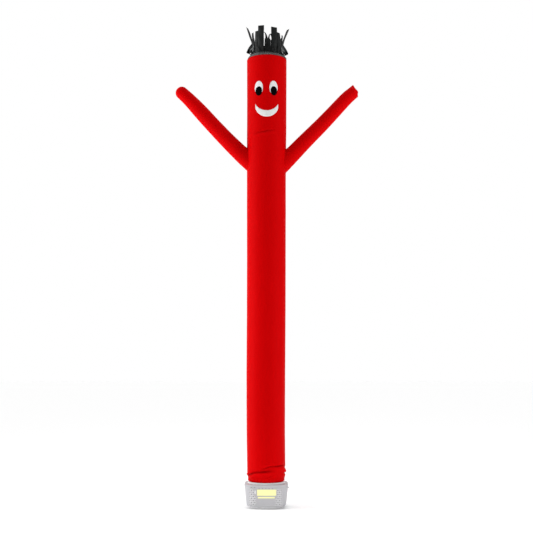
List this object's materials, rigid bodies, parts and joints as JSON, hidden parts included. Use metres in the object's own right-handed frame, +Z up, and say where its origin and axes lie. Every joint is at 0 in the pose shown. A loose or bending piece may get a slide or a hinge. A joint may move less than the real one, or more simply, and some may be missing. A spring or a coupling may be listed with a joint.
{
  "type": "inflatable air dancer on a blower",
  "caption": "Tall inflated red nylon tube figure with two raised arms, a sewn smiling face and a ring of black hair strips, standing on a plain grey floor blower.",
  "frame": {"origin": "on the floor, under the middle of the blower and of the tube", "axes": "+Z up along the tube, the face looks along -Y, the figure's arms spread along X"},
  "size_m": [2.2971, 0.5307, 5.9781],
  "materials": {
    "red_nylon": "satin",
    "black_nylon": "satin",
    "white_nylon": "satin",
    "grey_plastic": "satin",
    "dark_grey_plastic": "matte",
    "light_grey_plastic": "satin",
    "yellow_plate": "satin",
    "black_plastic": "satin"
  },
  "bodies": {
    "root": {"body_tube": "red_nylon", "arm_left": "red_nylon", "arm_right": "red_nylon", "eye_white_left": "white_nylon", "eye_white_right": "white_nylon", "smile": "white_nylon", "eye_pupil_left": "black_nylon", "eye_pupil_right": "black_nylon", "collar": "black_nylon", "hair_outer": "black_nylon", "hair_inner": "black_nylon", "blower_base": "dark_grey_plastic", "blower_housing": "grey_plastic", "outlet_ring": "light_grey_plastic", "label_plate": "yellow_plate", "label_bar": "yellow_plate", "front_rib": "light_grey_plastic", "screw_1": "black_plastic", "screw_2": "black_plastic", "blower_knob": "black_plastic"}
  },
  "joints": []
}
